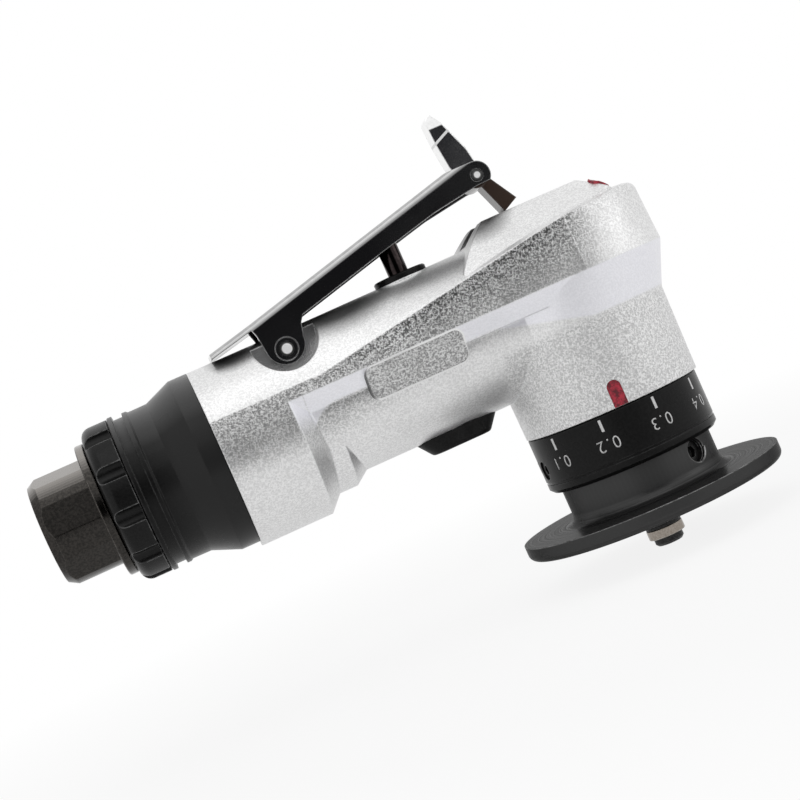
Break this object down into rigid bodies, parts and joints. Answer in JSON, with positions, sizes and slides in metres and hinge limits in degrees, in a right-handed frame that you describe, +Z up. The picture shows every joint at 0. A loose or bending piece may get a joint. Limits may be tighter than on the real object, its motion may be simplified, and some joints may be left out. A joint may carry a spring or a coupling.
{
  "type": "pneumatic chamfering tool",
  "caption": "Right-angle air chamfering tool: cast handle with throttle and lock levers, adjustable depth ring, guide plate and cone cutter on a pilot bearing.",
  "frame": {"origin": "centre of the guide plate's underside, on the spindle axis", "axes": "+Z up the spindle towards the crown, +X from the handle to the nose, so the air inlet is at the -X end"},
  "size_m": [0.1525, 0.06, 0.1069],
  "materials": {
    "cast_housing": "silver, fine cast texture",
    "black_metal": "satin black",
    "browned_steel": "browned, satin",
    "chromed_steel": "bright plated",
    "dark_chrome": "dark plated",
    "pin_steel": "ground",
    "spring_steel": "drawn wire",
    "screw_steel": "black oxide",
    "tool_steel": "ground edges",
    "seal_rubber": "matte",
    "black_plastic": "matte",
    "vane_plastic": "fibre laminate",
    "bronze": "sintered"
  },
  "bodies": {
    "housing": {"main_housing": "cast_housing", "exhaust_collar": "black_metal", "collar_seal": "seal_rubber", "exhaust_silencer": "bronze", "inlet_bushing": "browned_steel", "inlet_seal": "seal_rubber", "inlet_strainer": "bronze", "valve_bush": "black_metal", "valve_seat": "bronze", "valve_spring": "spring_steel", "belly_plug": "black_plastic", "lever_pin": "pin_steel", "nose_sleeve": "black_metal", "ring_retainer": "pin_steel", "guide_pin": "pin_steel", "lower_bearing_outer": "pin_steel", "upper_bearing_outer": "pin_steel", "lower_end_plate": "pin_steel", "upper_end_plate": "pin_steel", "cylinder_liner": "pin_steel"},
    "throttle_lever": {"throttle_lever": "chromed_steel", "lock_pin": "pin_steel", "lock_spring": "spring_steel"},
    "lock_lever": {"lock_lever": "dark_chrome"},
    "valve_stem": {"valve_stem": "pin_steel", "valve_seal": "seal_rubber"},
    "regulator_ring": {"regulator_ring": "black_metal"},
    "scale_ring": {"scale_ring": "black_metal", "ring_screw": "screw_steel"},
    "guide_plate": {"guide_plate": "black_metal", "hub_lock_screw": "screw_steel"},
    "spindle": {"rotor": "pin_steel", "vanes": "vane_plastic", "lower_bearing_inner": "pin_steel", "upper_bearing_inner": "pin_steel", "chamfer_cutter": "tool_steel", "pilot_screw": "screw_steel", "pilot_bearing_inner": "pin_steel"},
    "pilot_ring": {"pilot_bearing_outer": "pin_steel"}
  },
  "joints": [
    {"name": "throttle_hinge", "type": "hinge", "parent": "housing", "child": "throttle_lever", "pos_m": [-0.06072, 0, 0.06444], "axis": [0, 1, 0], "range_deg": [0, 4.5]},
    {"name": "lock_hinge", "type": "hinge", "parent": "throttle_lever", "child": "lock_lever", "pos_m": [-0.00828, 0, 0.08211], "axis": [0, 1, 0], "range_deg": [0, 90]},
    {"name": "valve_slide", "type": "slide", "parent": "housing", "child": "valve_stem", "axis": [0, 0, -1], "range_m": [0, 0.0025], "stiffness_N_per_m": 800, "springref_m": -0.006, "deforming": ["valve_spring"]},
    {"name": "regulator_hinge", "type": "hinge", "parent": "housing", "child": "regulator_ring", "pos_m": [-0.105, 0, 0.0489], "axis": [1, 0, 0], "range_deg": [0, 90]},
    {"name": "scale_hinge", "type": "hinge", "parent": "housing", "child": "scale_ring", "pos_m": [0, 0, 0.018], "axis": [0, 0, 1], "range_deg": [-236, 88]},
    {"name": "guide_slide", "type": "slide", "parent": "housing", "child": "guide_plate", "axis": [0, 0, 1], "range_m": [-0.000244, 0.000655]},
    {"name": "spindle_spin", "type": "hinge", "parent": "housing", "child": "spindle", "pos_m": [0, 0, 0.048], "axis": [0, 0, 1], "continuous": true},
    {"name": "pilot_spin", "type": "hinge", "parent": "spindle", "child": "pilot_ring", "pos_m": [0, 0, -0.0053], "axis": [0, 0, 1], "continuous": true}
  ],
  "couplings": [
    {"joint": "throttle_hinge", "follows": "valve_slide", "rad_per_m": 31.348},
    {"joint": "lock_hinge", "follows": "valve_slide", "rad_per_m": 626.96},
    {"joint": "scale_hinge", "follows": "guide_slide", "rad_per_m": -6283.2}
  ]
}
